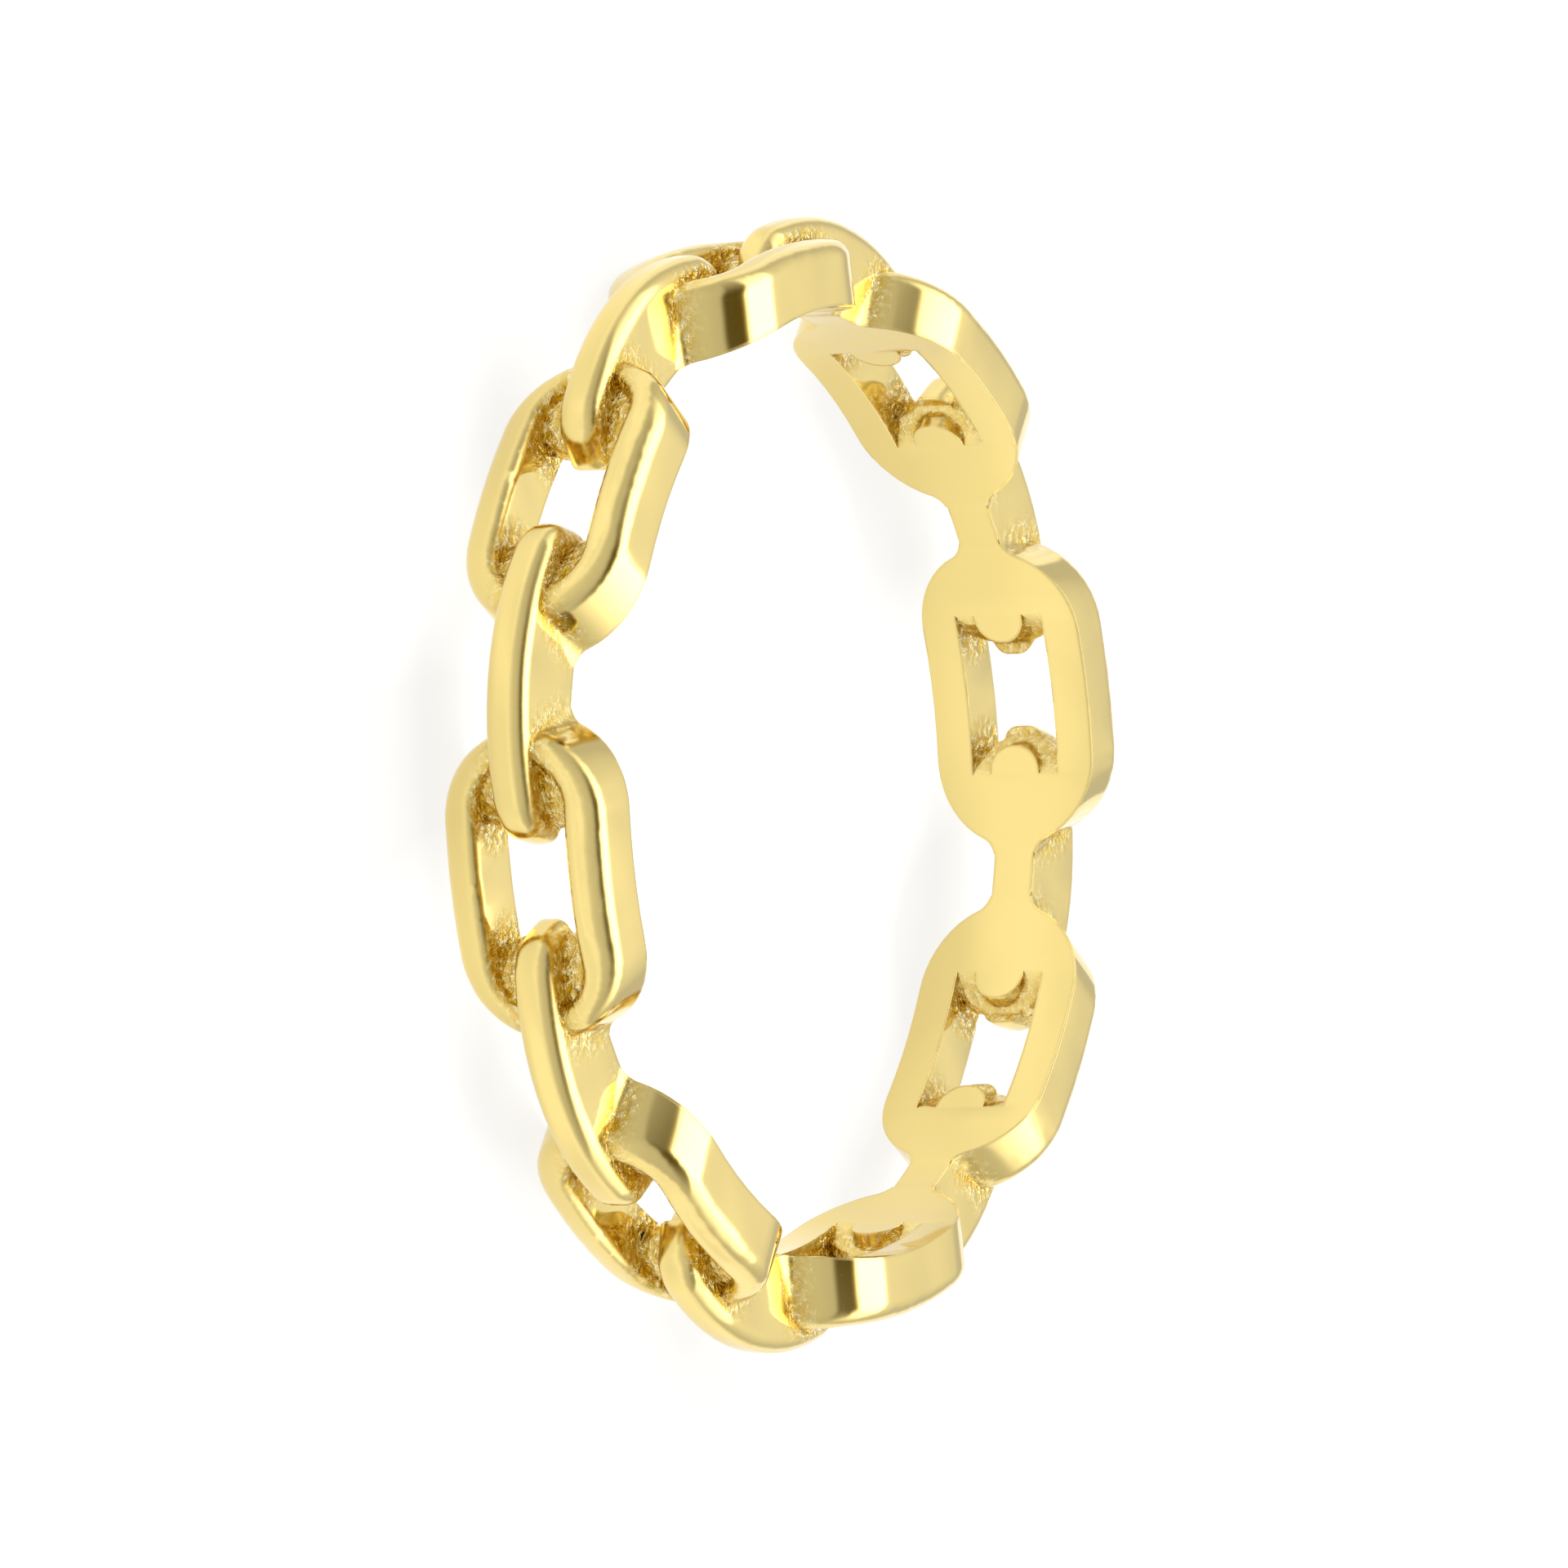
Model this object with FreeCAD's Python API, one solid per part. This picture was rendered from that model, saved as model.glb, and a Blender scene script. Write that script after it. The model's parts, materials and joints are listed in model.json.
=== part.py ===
"""Chain link ring: one cast metal band shaped as eight flat links joined by eight links on edge.

Millimetres. The ring lies on its side: its axis is Z, its lower side faces are at z = 0 and the
origin is on the axis. Flat link 0 is centred on +X and the next ones follow at 45 degrees. Each
shape is worked out at angle 0, where X is radial, Y runs along the band and Z across it.
"""
import FreeCAD, Part
import os
from math import hypot, sqrt

# Band
BORE_R = 8.65            # inner radius, a US size 7 finger
BAND_W = 3.26            # width of the band across Z
LINKS = 8                # flat links, with as many links on edge between them

# Flat links: a frame with a step down to two rounded end bars, which the links on edge cross
FLAT_LEN = 5.60          # outer length along the band
FLAT_CORNER = 1.60       # corner radius of the outline
RIM_W = 0.58             # width of the rim past the end bars
RAIL_TOP = 1.31          # height of the crown above the bore, at the band's middle
CROWN_R = 7.0            # radius of the crown across the band
STEP_HALF_W = 0.90       # half the width of the step, and of the opening
STEP_CORNER = 0.84       # corner radius of the step
BAR_TOP = 1.08           # height of the end bars above the bore
BAR_R = 1.50             # radius of their rounded tops, seen from the side
BAR_ANGLE = 13.5         # degrees from the link's middle to their tops

# Openings of the flat links
HOLE_HALF_LEN = 0.88     # from the opening's middle to the crown of each end
HOLE_END_R = 1.60        # radius of the bulging ends, seen from above
POCKET_LEN = 3.03        # length at the bore, where the opening widens under the end bars
POCKET_TOP = 0.35        # height above the bore at which it has narrowed

# Links on edge: a plate with an arched top, its ends poking into the openings
EDGE_W = 0.82            # thickness across the band
EDGE_TOP = 1.80          # height above the bore at the middle
EDGE_REACH = 2.86        # from the middle to the tip of each end
EDGE_ARCH_R = 5.0        # radius of the arched top, seen from the side
EDGE_END_R = 1.02        # radius of the rounded ends, seen from the side
EDGE_NOSE_R = 0.36       # radius of the rounded ends, seen from above
EDGE_TRIM = 0.03         # what the view from above cuts off the round ends seen from the side

# Tongues: at the bore, each link on edge ends in a round tip under the opening's end
TONGUE_W = 1.00          # width across the band
TONGUE_CORNER = 0.48     # radius of the tip's corners
TONGUE_REACH = 0.97      # from the middle of the opening to the tip
TONGUE_ROOT = 2.20       # from the middle of the opening to the tongue's end inside the bar

# Roundings
OUTER_ROUND = 0.36       # outer edges of the flat links
STEP_ROUND = 0.20        # edge of the step
EDGE_ROUND = 0.31        # outer edges of the links on edge
JOINT_R_BORE = 0.22      # hollow rounding between the links' sides, at the bore
JOINT_R_TOP = 0.05       # the same at the top of the joint
JOINT_TOP = 0.35         # height of the joint above the bore
JOINT_BELOW = 0.50       # how far below the bore its filling starts, before the bore is cut

# Blanks reach past the surface that cuts them
BELOW = 1.5              # inside the bore
ABOVE = 1.5              # outside the crown and past the side faces

SAME = 0.01              # positions closer than this count as one
MID_Z = BAND_W / 2
PITCH = 360.0 / LINKS
AXIS = FreeCAD.Vector(0, 0, 1)
CENTRE = FreeCAD.Vector(0, 0, MID_Z)


def vec(x, y, z):
    return FreeCAD.Vector(x, y, z)


def middle_of(edge):
    return edge.valueAt((edge.FirstParameter + edge.LastParameter) / 2)


def is_radial(edge):
    run = edge.Vertexes[-1].Point - edge.Vertexes[0].Point
    return abs(run.x) > SAME and hypot(run.y, run.z) < SAME


def outer_edges(solid, height):
    """The edges that lie more than height above the bore and don't run radially."""
    found = []
    for edge in solid.Edges:
        point = middle_of(edge)
        if hypot(point.x, point.y) > BORE_R + height and not is_radial(edge):
            found.append(edge)
    return found


def radial_prism(length, width, corner, top=EDGE_TOP + ABOVE):
    """A block from inside the bore to top above it, rounded at its four radial edges."""
    x0, x1 = BORE_R - BELOW, BORE_R + top
    block = Part.makeBox(x1 - x0, length, width, vec(x0, -length / 2, MID_Z - width / 2))
    return block.makeFillet(corner, [e for e in block.Edges if is_radial(e)])


def cylinder(radius):
    return Part.makeCylinder(radius, BAND_W + 2 * ABOVE, vec(0, 0, -ABOVE))


def under_crown():
    """Everything under the crowned surface that the flat links share, on the +X half."""
    half = MID_Z + ABOVE
    top = BORE_R + RAIL_TOP
    edge_x = top - CROWN_R + sqrt(CROWN_R ** 2 - half ** 2)
    low, high = vec(edge_x, 0, MID_Z - half), vec(edge_x, 0, MID_Z + half)
    axis_low, axis_high = vec(0, 0, MID_Z - half), vec(0, 0, MID_Z + half)
    arc = Part.Arc(low, vec(top, 0, MID_Z), high).toShape()
    corners = [high, axis_high, axis_low, low]
    sides = [Part.makeLine(a, b) for a, b in zip(corners, corners[1:])]
    face = Part.Face(Part.Wire([arc] + sides))
    face.rotate(CENTRE, AXIS, -90)
    return face.revolve(CENTRE, AXIS, 180)


def end_bars():
    """Both end bars' rounded tops, as cylinders across the band."""
    bar = Part.makeCylinder(BAR_R, BAND_W, vec(BORE_R + BAR_TOP - BAR_R, 0, 0))
    return [turned(bar, BAR_ANGLE), turned(bar, -BAR_ANGLE)]


def flat_link():
    """A rounded block under the crown, with the step and the opening cut into it."""
    frame = radial_prism(FLAT_LEN, BAND_W, FLAT_CORNER).common(under_crown())
    frame = frame.makeFillet(OUTER_ROUND, outer_edges(frame, RAIL_TOP / 2))
    step = radial_prism(FLAT_LEN - 2 * RIM_W, 2 * STEP_HALF_W, STEP_CORNER)
    frame = frame.cut(step.cut(end_bars()))
    rim = [e for e in outer_edges(frame, (BAR_TOP + RAIL_TOP) / 2) if is_inside_step(middle_of(e))]
    frame = frame.makeFillet(STEP_ROUND, rim)
    return frame.cut(opening())


def is_inside_step(point):
    return abs(point.y) < FLAT_LEN / 2 - RIM_W + SAME and abs(point.z - MID_Z) < STEP_HALF_W + SAME


def opening():
    """The opening right through a flat link: straight sides and ends that bulge inwards."""
    x = BORE_R - BELOW
    low, high = MID_Z - STEP_HALF_W, MID_Z + STEP_HALF_W
    half_len = HOLE_HALF_LEN + HOLE_END_R - sqrt(HOLE_END_R ** 2 - STEP_HALF_W ** 2)
    outline = [Part.makeLine(vec(x, half_len, z), vec(x, -half_len, z)) for z in (low, high)]
    for side in (1, -1):
        crown = vec(x, side * HOLE_HALF_LEN, MID_Z)
        ends = [vec(x, side * half_len, z) for z in (low, high)]
        outline.append(Part.Arc(ends[0], crown, ends[1]).toShape())
    face = Part.Face(Part.Wire(Part.__sortEdges__(outline)))
    return face.extrude(vec(BELOW + EDGE_TOP + ABOVE, 0, 0))


def pocket():
    """The opening's wide foot at the bore, which narrows to the opening's own length."""
    foot_y, top_y = POCKET_LEN / 2, HOLE_HALF_LEN
    foot_x = sqrt(BORE_R ** 2 - foot_y ** 2)
    profile = [(foot_x - BELOW, foot_y), (foot_x, foot_y), (BORE_R + POCKET_TOP, top_y)]
    corners = profile + [(x, -y) for x, y in reversed(profile)]
    wire = Part.makePolygon([vec(x, y, MID_Z - STEP_HALF_W) for x, y in corners + corners[:1]])
    return Part.Face(wire).extrude(vec(0, 0, 2 * STEP_HALF_W))


def tongues():
    """The two round tips at the bore that fill the ends of the pocket."""
    length = TONGUE_ROOT - TONGUE_REACH
    tip = radial_prism(length, TONGUE_W, TONGUE_CORNER, POCKET_TOP)
    tip.translate(vec(0, TONGUE_REACH + length / 2, 0))
    return [tip, tip.mirror(CENTRE, vec(0, 1, 0))]


def edge_link():
    arch_x = BORE_R + EDGE_TOP - EDGE_ARCH_R
    tip_y = EDGE_REACH + EDGE_TRIM
    end_y = tip_y - EDGE_END_R
    end_x = arch_x + sqrt((EDGE_ARCH_R - EDGE_END_R) ** 2 - end_y ** 2)
    share = EDGE_ARCH_R / (EDGE_ARCH_R - EDGE_END_R)
    meet_x, meet_y = arch_x + (end_x - arch_x) * share, end_y * share
    foot_x = end_x - EDGE_END_R
    z0 = MID_Z - EDGE_W / 2
    crest = vec(BORE_R + EDGE_TOP, 0, z0)
    outline = [Part.Arc(vec(meet_x, -meet_y, z0), crest, vec(meet_x, meet_y, z0)).toShape()]
    for side in (1, -1):
        meet, tip, foot = [vec(x, side * y, z0) for x, y in
                           ((meet_x, meet_y), (end_x, tip_y), (foot_x, end_y))]
        outline.append(Part.Arc(meet, tip, foot).toShape())
    outline.append(Part.makeLine(vec(foot_x, end_y, z0), vec(foot_x, -end_y, z0)))
    face = Part.Face(Part.Wire(Part.__sortEdges__(outline)))
    plate = face.extrude(vec(0, 0, EDGE_W)).common(radial_prism(2 * EDGE_REACH, EDGE_W, EDGE_NOSE_R))
    upper = [e for e in plate.Edges if middle_of(e).x > end_x - EDGE_ROUND and not is_across(e)]
    return plate.makeFillet(EDGE_ROUND, upper)


def is_across(edge):
    return abs(edge.Vertexes[0].Z - edge.Vertexes[-1].Z) > EDGE_W / 2


def joint_section(radius, x):
    """The corner between a flat link's end and a link on edge, filled up to a hollow arc."""
    corner_y, corner_z = FLAT_LEN / 2 - FLAT_CORNER, MID_Z - FLAT_CORNER
    arc_z = EDGE_W / 2 + radius
    arc_y = corner_y + sqrt((FLAT_CORNER + radius) ** 2 - (arc_z - corner_z) ** 2)
    share = FLAT_CORNER / (FLAT_CORNER + radius)
    on_flat_y = corner_y + (arc_y - corner_y) * share
    on_flat_z = corner_z + (arc_z - corner_z) * share
    on_flat = vec(x, on_flat_y, MID_Z + on_flat_z)
    on_edge = vec(x, arc_y, MID_Z + EDGE_W / 2)
    centre = vec(x, arc_y, MID_Z + arc_z)
    towards = (on_flat + on_edge) * 0.5 - centre
    arc = Part.Arc(on_flat, centre + towards * (radius / towards.Length), on_edge).toShape()
    inside = [vec(x, arc_y, MID_Z), vec(x, TONGUE_ROOT, MID_Z), vec(x, TONGUE_ROOT, on_flat.z)]
    corners = [on_edge] + inside + [on_flat]
    sides = [Part.makeLine(a, b) for a, b in zip(corners, corners[1:])]
    return Part.Wire([arc] + sides)


def joint():
    """One corner's filling, which fades from below the bore to the top of the joint."""
    widening = (JOINT_R_BORE - JOINT_R_TOP) / JOINT_TOP
    low = joint_section(JOINT_R_BORE + widening * JOINT_BELOW, BORE_R - JOINT_BELOW)
    high = joint_section(JOINT_R_TOP, BORE_R + JOINT_TOP)
    return Part.makeLoft([low, high], True, True)


def turned(shape, angle):
    copy = shape.copy()
    copy.rotate(CENTRE, AXIS, angle)
    return copy


def all_round(shapes):
    return [turned(shape, PITCH * k) for k in range(LINKS) for shape in shapes]


def chain_band():
    quarter = joint()
    half = [quarter, quarter.mirror(CENTRE, AXIS)]
    joints = half + [f.mirror(CENTRE, vec(0, 1, 0)) for f in half]
    blanks = all_round([flat_link(), turned(edge_link(), PITCH / 2)] + joints)
    band = blanks[0].fuse(blanks[1:]).cut(all_round([pocket()]))
    return band.fuse(all_round(tongues())).cut(cylinder(BORE_R)).removeSplitter()


band = chain_band()
print("chain band: valid", band.isValid(), "solids", len(band.Solids), "faces", len(band.Faces))
print("volume", round(band.Volume, 2), "mm3, box", band.BoundBox)
os.makedirs("parts", exist_ok=True)
band.Solids[0].exportStep("parts/chain_band.step")
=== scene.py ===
# %% [markdown]
# # A polished gold chain link ring
# The real ring is one casting: eight flat links and eight links on edge that look threaded but
# are one piece of metal. It was polished outside and inside, while the grooves and openings that
# a buffing wheel can't reach stayed as they were cast. So the lesson is about clean shading on a
# mirror-like metal, a second rougher finish in the grooves, and a room whose bright and dim parts
# draw the edges.

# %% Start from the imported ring
import json
from math import cos, pi, radians, sin

import bpy
from mathutils import Matrix, Vector


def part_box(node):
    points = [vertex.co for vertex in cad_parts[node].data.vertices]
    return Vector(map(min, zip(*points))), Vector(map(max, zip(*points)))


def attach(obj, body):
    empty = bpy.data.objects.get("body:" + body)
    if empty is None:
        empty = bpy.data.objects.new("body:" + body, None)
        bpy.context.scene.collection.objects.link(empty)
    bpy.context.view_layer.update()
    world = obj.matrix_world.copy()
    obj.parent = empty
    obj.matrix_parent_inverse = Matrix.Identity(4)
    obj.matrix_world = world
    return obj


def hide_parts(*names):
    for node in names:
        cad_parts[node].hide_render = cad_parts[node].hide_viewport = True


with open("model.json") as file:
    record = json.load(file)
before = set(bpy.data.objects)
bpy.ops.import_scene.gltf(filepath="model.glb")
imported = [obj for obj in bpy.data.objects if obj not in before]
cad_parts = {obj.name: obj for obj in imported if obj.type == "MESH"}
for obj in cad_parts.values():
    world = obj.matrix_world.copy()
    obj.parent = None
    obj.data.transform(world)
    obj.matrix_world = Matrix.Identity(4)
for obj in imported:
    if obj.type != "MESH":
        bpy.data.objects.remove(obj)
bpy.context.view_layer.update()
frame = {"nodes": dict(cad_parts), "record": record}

ring_node = frame["nodes"]["chain_band"]
low, high = [Vector(corner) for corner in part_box("chain_band")]
print("ring box in mm:", [round(v * 1000, 2) for v in high - low])

# %% [markdown]
# ## Sizes
# Everything is in metres. The ring lies on its side with its axis along Z, so its width is its
# height above the floor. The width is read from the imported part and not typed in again, so the
# two can't drift apart.

# %% Sizes of the ring
MM = 0.001
FINGER = next(mount for mount in frame["record"]["mounts"] if mount["name"] == "finger_bore")
BAND_W = FINGER["dims"]["length_mm"] * MM
MID_Z = BAND_W / 2
print("the band is", round(BAND_W / MM, 2), "mm wide")


# %% Three helpers
def linear(hex_colour):
    """An sRGB hex colour as linear RGBA, which Blender's sockets take."""
    channels = [int(hex_colour[i:i + 2], 16) / 255 for i in (1, 3, 5)]
    curved = [c / 12.92 if c <= 0.04045 else ((c + 0.055) / 1.055) ** 2.4 for c in channels]
    return (*curved, 1.0)


def light_level(level, tint=(1.0, 1.0, 1.0)):
    """A brightness as linear RGBA, white unless it is tinted."""
    return (*[level * share for share in tint], 1.0)


def select_only(obj):
    """Makes obj the one selected and active object, as a click on it would."""
    bpy.ops.object.select_all(action="DESELECT")
    obj.select_set(True)
    bpy.context.view_layer.objects.active = obj


# %% [markdown]
# ## The casting
# The solid that the checks use already has every link, joint and rounded edge. It could be modelled
# again here with loops and bevels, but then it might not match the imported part. Its mesh is loose
# triangles, which would show as facets in a mirror finish, so the visible ring is a copy whose
# points are merged and whose normals are smoothed except across sharp edges.

# %% A merged copy of the ring
SAME_POINT = 0.0005 * MM


def merged_copy(node, name):
    """A new piece with the node's shape, its loose triangles joined into one surface."""
    piece = node.copy()
    piece.data = node.data.copy()
    piece.name = piece.data.name = name
    piece.parent = None
    bpy.context.scene.collection.objects.link(piece)
    piece.matrix_world = Matrix()
    select_only(piece)
    bpy.ops.object.mode_set(mode="EDIT")
    bpy.ops.mesh.select_all(action="SELECT")
    bpy.ops.mesh.remove_doubles(threshold=SAME_POINT)
    bpy.ops.mesh.customdata_custom_splitnormals_clear()
    bpy.ops.object.mode_set(mode="OBJECT")
    return piece


ring = merged_copy(ring_node, "ring_casting")
print("merged copy:", len(ring.data.vertices), "points,", len(ring.data.polygons), "faces")

# %% Smooth shading with crisp corners
CRISP_ANGLE = radians(28)
select_only(ring)
bpy.ops.object.shade_smooth_by_angle(angle=CRISP_ANGLE)
weighted = ring.modifiers.new("even_shading", "WEIGHTED_NORMAL")
weighted.keep_sharp = True
bpy.ops.object.modifier_apply(modifier=weighted.name)
print("still", len(ring.data.polygons), "faces: only the normals changed")


# %% [markdown]
# ## Shader nodes by script
# A material is a small graph of nodes. It could be wired by hand in the shader editor. One helper
# that adds a node with its settings, sockets and links makes each material read as a short list.

# %% A helper that adds one shader node
def add_node(tree, kind, settings=None, links=None, **inputs):
    """Adds a node, sets its properties and sockets, and links named sockets to other nodes."""
    node = tree.nodes.new(kind)
    for key, value in (settings or {}).items():
        setattr(node, key, value)
    for key, value in inputs.items():
        node.inputs[key.replace("_", " ")].default_value = value
    for key, output in (links or {}).items():
        tree.links.new(output, node.inputs[key])
    return node


def new_material(name):
    """An empty node material, with its tree and output."""
    material = bpy.data.materials.new(name)
    material.use_nodes = True
    material.node_tree.nodes.clear()
    output = add_node(material.node_tree, "ShaderNodeOutputMaterial")
    return material, material.node_tree, output


# %% [markdown]
# ## Two finishes in one metal
# The grooves and the openings' corners keep the cast surface: the same gold, but grainy and rough,
# so it scatters light. The orange that light takes on as it bounces around in them is painted into
# the colour, as painted shade in the grain's hollows and painted glints on its peaks. A face could
# be given a second material by hand, but the real border is soft, so one material mixes both
# finishes, painted shade included, by how enclosed a point is, which is how far a buffing wheel's
# fibres get.

# %% The polished gold
# Buffed gold plate is a mirror: it shows the room sharply, in yellow, and the slow waves that the
# buffing wheel leaves bend those reflections a little. Wear rounds the edges, so they glint.
GOLD = "#EDD68B"
POLISH_ROUGHNESS = 0.06
POLISH_WAVE = 2.2 * MM
POLISH_DEPTH = 0.09 * MM
WORN_EDGE_R = 0.09 * MM
WORN_EDGE_RAYS = 2

# %% The gold as it was cast
# Unpolished gold is a fine grain, rough and bumpy. Its colour is painted light: pale painted glints
# on the peaks over deep yellow painted shade in the hollows. The real grain is too fine to show at
# this size, so it is drawn coarser.
# Painted shade for the hollows, then painted glints for the peaks.
PAINTED_SHADE_HOLLOW = "#D6AE20"
PAINTED_GLINT_PEAK = "#FDF3C4"
CAST_ROUGHNESS = 0.16
CAST_GRAIN = 0.14 * MM
CAST_DEPTH = 0.15 * MM
SHADED_HOLLOW_NOISE, GLINTING_PEAK_NOISE = 0.45, 0.66

# %% How far the polish reaches
# Openness is 1 on an open face and falls towards the bottom of a groove. Above the first limit the
# gold is all polished, and below the second it is all as cast, with its painted shade and glints.
REACH_OF_POLISH = 0.68 * MM
POLISHED_OPENNESS, CAST_OPENNESS = 0.80, 0.64
OPENNESS_RAYS = 3


# %% The material
def cast_and_painted_shade_share(tree):
    """How much a point keeps its cast surface and painted shade: 0 in the open, 1 deep in a groove.
    """
    # Enclosed creases get the rough cast finish and, with it, painted shade.
    openness = add_node(tree, "ShaderNodeAmbientOcclusion",
                        {"samples": OPENNESS_RAYS, "only_local": True}, Distance=REACH_OF_POLISH)
    share = add_node(tree, "ShaderNodeMapRange", {"interpolation_type": "SMOOTHSTEP"},
                     {"Value": openness.outputs["AO"]},
                     From_Min=POLISHED_OPENNESS, From_Max=CAST_OPENNESS)
    return share.outputs[0]


def polished_gold(tree, place):
    """The mirror finish, with buffing waves over worn edges."""
    worn = add_node(tree, "ShaderNodeBevel", {"samples": WORN_EDGE_RAYS}, Radius=WORN_EDGE_R)
    waves = add_node(tree, "ShaderNodeTexNoise", links={"Vector": place},
                     Scale=1 / POLISH_WAVE, Detail=1.0)
    soft = add_node(tree, "ShaderNodeBump",
                    links={"Height": waves.outputs["Fac"], "Normal": worn.outputs["Normal"]},
                    Strength=1.0, Distance=POLISH_DEPTH)
    return add_node(tree, "ShaderNodeBsdfPrincipled", links={"Normal": soft.outputs["Normal"]},
                    Base_Color=linear(GOLD), Metallic=1.0, Roughness=POLISH_ROUGHNESS)


def cast_gold_painted_shade_and_glints(tree, place):
    """The grainy finish: bumps follow the grains, and the colour paints shade into their hollows and
    glints onto their peaks.
    """
    grain = add_node(tree, "ShaderNodeTexNoise", links={"Vector": place},
                     Scale=1 / CAST_GRAIN, Detail=3.0)
    rough = add_node(tree, "ShaderNodeBump", links={"Height": grain.outputs["Fac"]},
                     Strength=1.0, Distance=CAST_DEPTH)
    # Painted light: the grain's colour runs from painted shade in the hollows to painted glints on
    # the peaks.
    painted_tones = add_node(tree, "ShaderNodeValToRGB", links={"Fac": grain.outputs["Fac"]})
    hollow, peak = painted_tones.color_ramp.elements
    hollow.position, hollow.color = SHADED_HOLLOW_NOISE, linear(PAINTED_SHADE_HOLLOW)
    peak.position, peak.color = GLINTING_PEAK_NOISE, linear(PAINTED_GLINT_PEAK)
    return add_node(tree, "ShaderNodeBsdfPrincipled",
                    links={"Normal": rough.outputs["Normal"], "Base Color": painted_tones.outputs["Color"]},
                    Metallic=1.0, Roughness=CAST_ROUGHNESS)


def gold_finishes_with_painted_shade():
    """Both finishes in one material, the cast one with painted shade and glints."""
    material, tree, output = new_material("gold_buffed_over_cast_with_painted_shade")
    place = add_node(tree, "ShaderNodeTexCoord").outputs["Object"]
    # Enclosed places get the cast finish with its painted shade and glints.
    mix = add_node(tree, "ShaderNodeMixShader",
                   links={0: cast_and_painted_shade_share(tree), 1: polished_gold(tree, place).outputs[0],
                          2: cast_gold_painted_shade_and_glints(tree, place).outputs[0]})
    tree.links.new(mix.outputs[0], output.inputs["Surface"])
    return material


ring.data.materials.clear()
ring.data.materials.append(gold_finishes_with_painted_shade())
print("the ring's material:", ring.data.materials[0].name)

# %% Put the ring on its body
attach(ring, "root")
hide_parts("chain_band")

# %% [markdown]
# ## The table
# The photograph's ground is plain white with hardly any shadow. Lamps could be placed to wash the
# shadow out, but a table that glows by itself does it evenly, and it also fills the lower half of
# the mirror with light. The glow varies slightly from place to place, so that it isn't flat.

# %% The floor
# A matt white sheet lit from below gives the eye an even pale ground.
FLOOR_SIZE = 4000 * MM
TABLE_COLOUR = "#706E6A"
TABLE_ROUGHNESS = 0.9
TABLE_GLOW = (0.82, 1.00)
TABLE_PATCH = 5 * MM
DULL_NOISE, BRIGHT_NOISE = 0.36, 0.66


def floor_finish():
    """A white table lit from below, which gives a plain ground and no hard shadow."""
    material, tree, output = new_material("pale_lit_table")
    place = add_node(tree, "ShaderNodeTexCoord").outputs["Object"]
    patches = add_node(tree, "ShaderNodeTexNoise", links={"Vector": place},
                       Scale=1 / TABLE_PATCH, Detail=0.0)
    glow = add_node(tree, "ShaderNodeMapRange", links={"Value": patches.outputs["Fac"]},
                    From_Min=DULL_NOISE, From_Max=BRIGHT_NOISE,
                    To_Min=TABLE_GLOW[0], To_Max=TABLE_GLOW[1])
    matt = add_node(tree, "ShaderNodeBsdfPrincipled", links={"Emission Strength": glow.outputs[0]},
                    Base_Color=linear(TABLE_COLOUR), Roughness=TABLE_ROUGHNESS,
                    Emission_Color=light_level(1.0))
    tree.links.new(matt.outputs["BSDF"], output.inputs["Surface"])
    return material


select_only(ring)
bpy.ops.mesh.primitive_plane_add(size=FLOOR_SIZE, location=(0, 0, 0))
floor = bpy.context.object
floor.name = "pale_floor"
floor.data.materials.append(floor_finish())
print("the floor is", FLOOR_SIZE, "m wide")

# %% [markdown]
# ## The camera
# A camera can be placed by eye, but then the ring would never lie quite as in the photograph. These
# values were fitted to the ring's outline there: the direction, the roll, the distance, and how
# large and how far off centre the ring is in the picture.

# %% Where the camera stands
CAMERA_ELEVATION = radians(29.336)
CAMERA_AZIMUTH = radians(-100.4485)
CAMERA_ROLL = radians(88.578)
CAMERA_DISTANCE = 311.94 * MM
SCALE_PX_PER_MM = 67.291
FRAME_PX = 1920
CENTRE_PX = (964.84, 959.03)
SENSOR = 36.0
NEAREST, FARTHEST = 0.01, 10.0


def add_camera():
    """A camera that looks at the ring's centre from the photograph's side."""
    toward = Vector((cos(CAMERA_ELEVATION) * cos(CAMERA_AZIMUTH),
                     cos(CAMERA_ELEVATION) * sin(CAMERA_AZIMUTH), sin(CAMERA_ELEVATION)))
    right = Vector((-sin(CAMERA_AZIMUTH), cos(CAMERA_AZIMUTH), 0))
    up = toward.cross(right)
    image_right = cos(CAMERA_ROLL) * right + sin(CAMERA_ROLL) * up
    image_up = -sin(CAMERA_ROLL) * right + cos(CAMERA_ROLL) * up
    data = bpy.data.cameras.new("camera")
    data.sensor_fit = "HORIZONTAL"
    data.sensor_width = SENSOR
    data.lens = SCALE_PX_PER_MM * CAMERA_DISTANCE / MM / FRAME_PX * SENSOR
    data.shift_x = -(CENTRE_PX[0] - FRAME_PX / 2) / FRAME_PX
    data.shift_y = (CENTRE_PX[1] - FRAME_PX / 2) / FRAME_PX
    data.clip_start = NEAREST
    data.clip_end = FARTHEST
    camera = bpy.data.objects.new("camera", data)
    place = Matrix((image_right, image_up, toward)).transposed().to_4x4()
    place.translation = Vector((0, 0, MID_Z)) + toward * CAMERA_DISTANCE
    camera.matrix_world = place
    bpy.context.scene.collection.objects.link(camera)
    bpy.context.scene.camera = camera
    print("lens", round(data.lens, 1), "mm")
    return toward


TOWARD_CAMERA = add_camera()


# %% [markdown]
# ## A room for a mirror
# Polished gold shows whatever surrounds it, so the room is what draws the ring. Panels could be
# modelled, but one sweep of brightness is simpler. From the back wall over the ceiling to the front
# it is dim, then brightest high at the back, then almost dark just past straight up, then dim around
# the camera. Each rounded edge squeezes that sweep into a white line beside a dark line.

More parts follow.
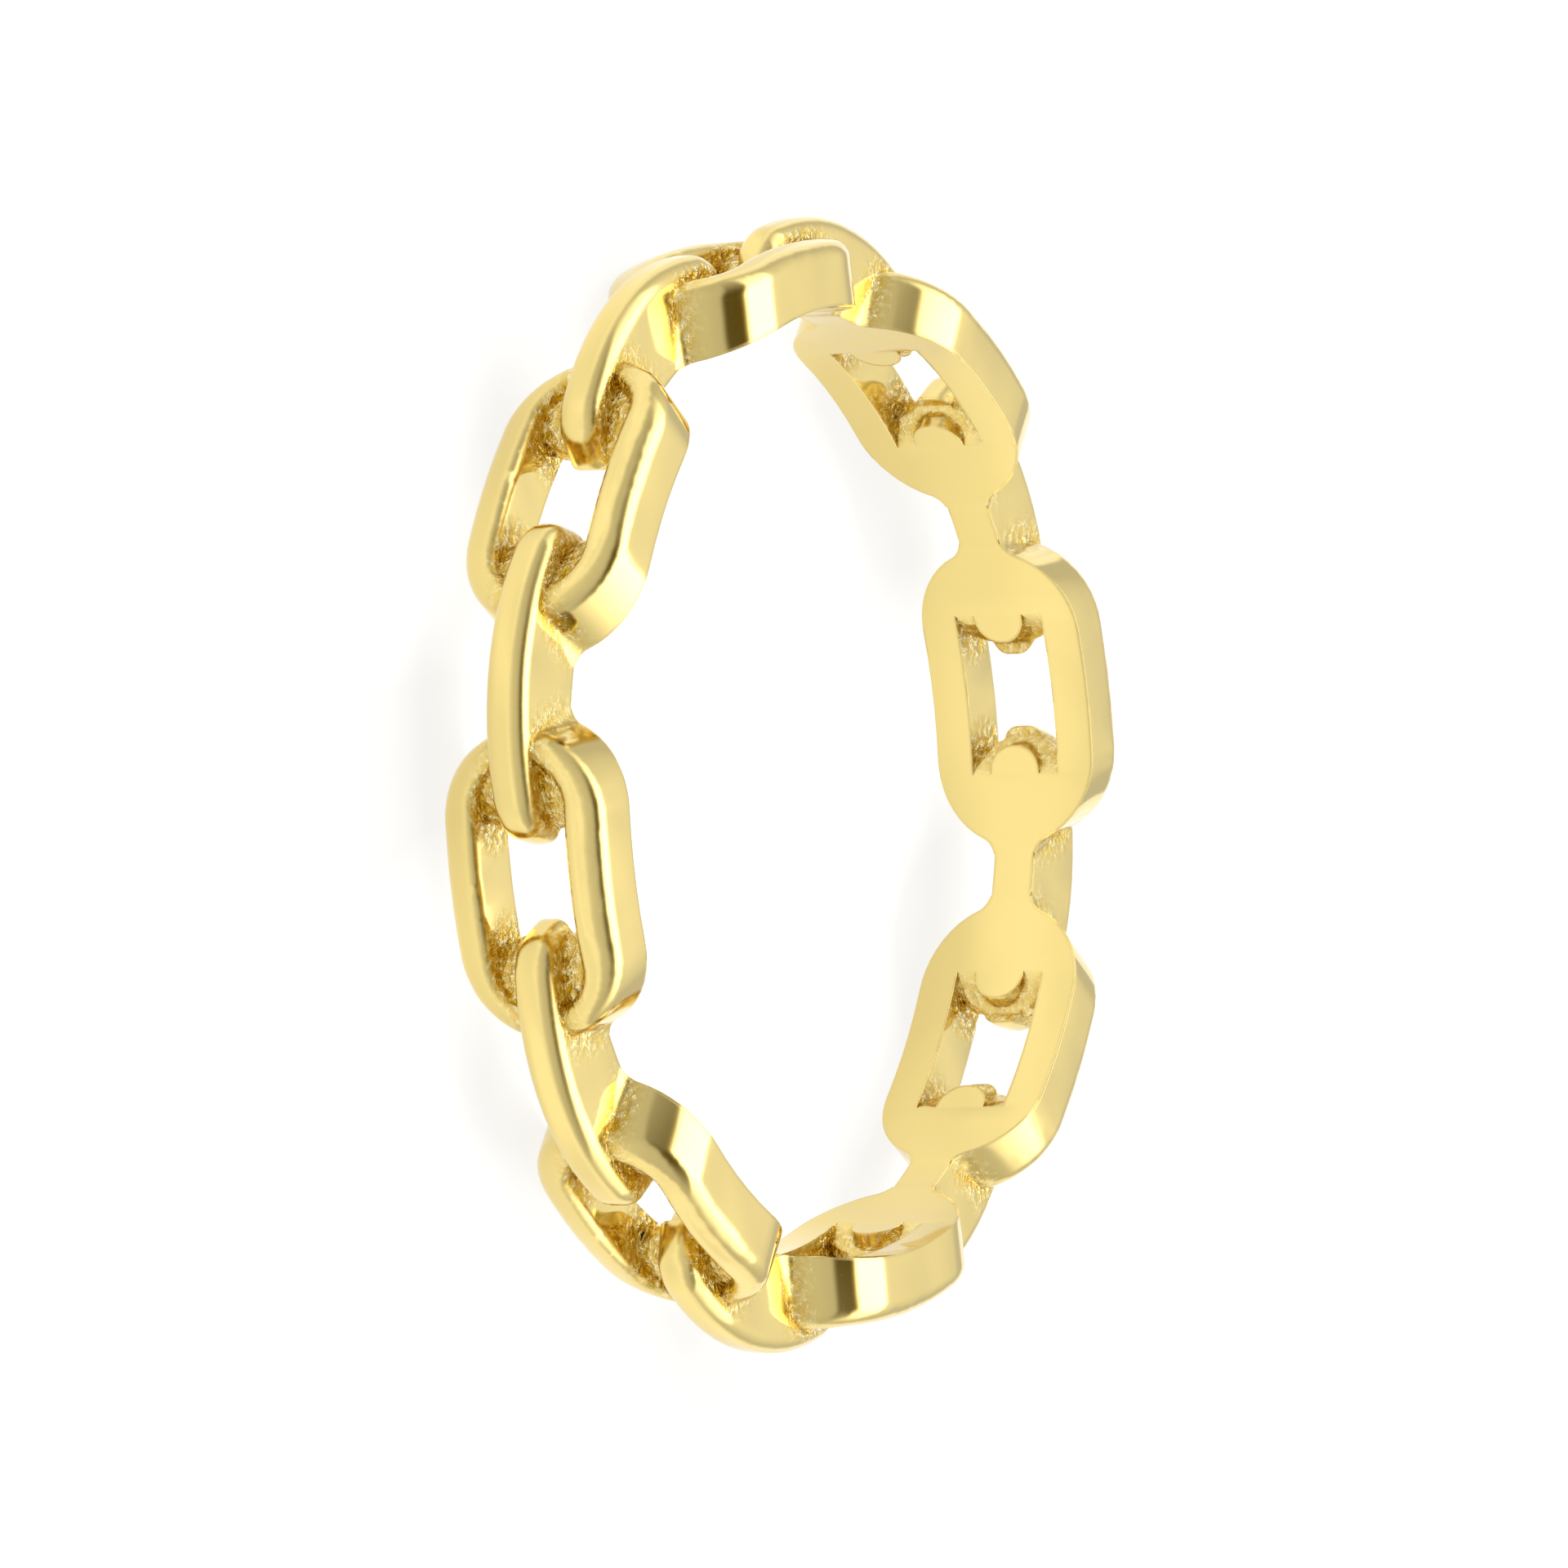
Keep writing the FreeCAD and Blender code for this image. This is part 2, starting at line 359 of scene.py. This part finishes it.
# %% The room's brightness
# Each pair is an angle from straight up, negative towards the back, and the share of the peak.
ROOM_PEAK = 3.3
ROOM_SWEEP = [(-90, 0.19), (-76, 0.20), (-70, 0.25), (-58, 0.31), (-50, 0.35), (-45, 1.00),
              (-6, 1.00), (0, 0.12), (4, 0.035), (26, 0.035), (32, 0.19), (76, 0.24), (90, 0.28)]
ROOM_BELOW = 0.4               # straight down, which the floor hides
ROOM_SIDE = 0.19               # towards the sides, where the sweep fades out
SIDE_FADE = 2.0                # how late it fades
DIM_BELOW = 0.13               # parts dimmer than this are warm, which keeps dark lines golden
DIM_TINT = (1.00, 0.76, 0.20)

FRONT = Vector((TOWARD_CAMERA.x, TOWARD_CAMERA.y, 0)).normalized()
UP = Vector((0, 0, 1))
SIDE = FRONT.cross(UP)


def fill_sweep(stops):
    """Puts the room's brightness on a colour ramp that runs once round, from below."""
    stops.remove(stops[1])
    stops[0].position = 0.0
    stops[0].color = light_level(ROOM_BELOW)
    for degree, level in ROOM_SWEEP:
        stop = stops.new((degree + 180) / 360)
        stop.color = light_level(level, DIM_TINT) if level < DIM_BELOW else light_level(level)


def studio_world():
    """A world lit by the sweep from back to front, which fades to an even light at the sides."""
    world = bpy.data.worlds.new("soft_room")
    world.use_nodes = True
    tree = world.node_tree
    tree.nodes.clear()
    way = add_node(tree, "ShaderNodeTexCoord").outputs["Generated"]
    parts = []
    for axis in (FRONT, UP, SIDE):
        dot = add_node(tree, "ShaderNodeVectorMath", {"operation": "DOT_PRODUCT"}, {0: way})
        dot.inputs[1].default_value = axis
        parts.append(dot.outputs["Value"])
    ahead, above, aside = parts
    angle = add_node(tree, "ShaderNodeMath", {"operation": "ARCTAN2"}, {0: ahead, 1: above})
    turn = add_node(tree, "ShaderNodeMapRange", links={"Value": angle.outputs[0]},
                    From_Min=-pi, From_Max=pi)
    sweep = add_node(tree, "ShaderNodeValToRGB", links={"Fac": turn.outputs[0]})
    fill_sweep(sweep.color_ramp.elements)
    fade = add_node(tree, "ShaderNodeMath", {"operation": "POWER"}, {0: aside})
    fade.inputs[1].default_value = SIDE_FADE
    mix = add_node(tree, "ShaderNodeMix", {"data_type": "RGBA"},
                   {0: fade.outputs[0], 6: sweep.outputs["Color"]})
    mix.inputs[7].default_value = light_level(ROOM_SIDE)
    room = add_node(tree, "ShaderNodeBackground", links={"Color": mix.outputs[2]},
                    Strength=ROOM_PEAK)
    output = add_node(tree, "ShaderNodeOutputWorld")
    tree.links.new(room.outputs["Background"], output.inputs["Surface"])
    bpy.context.scene.world = world
    print("the sweep has", len(sweep.color_ramp.elements), "stops")


studio_world()
bpy.context.scene.view_settings.view_transform = "Standard"
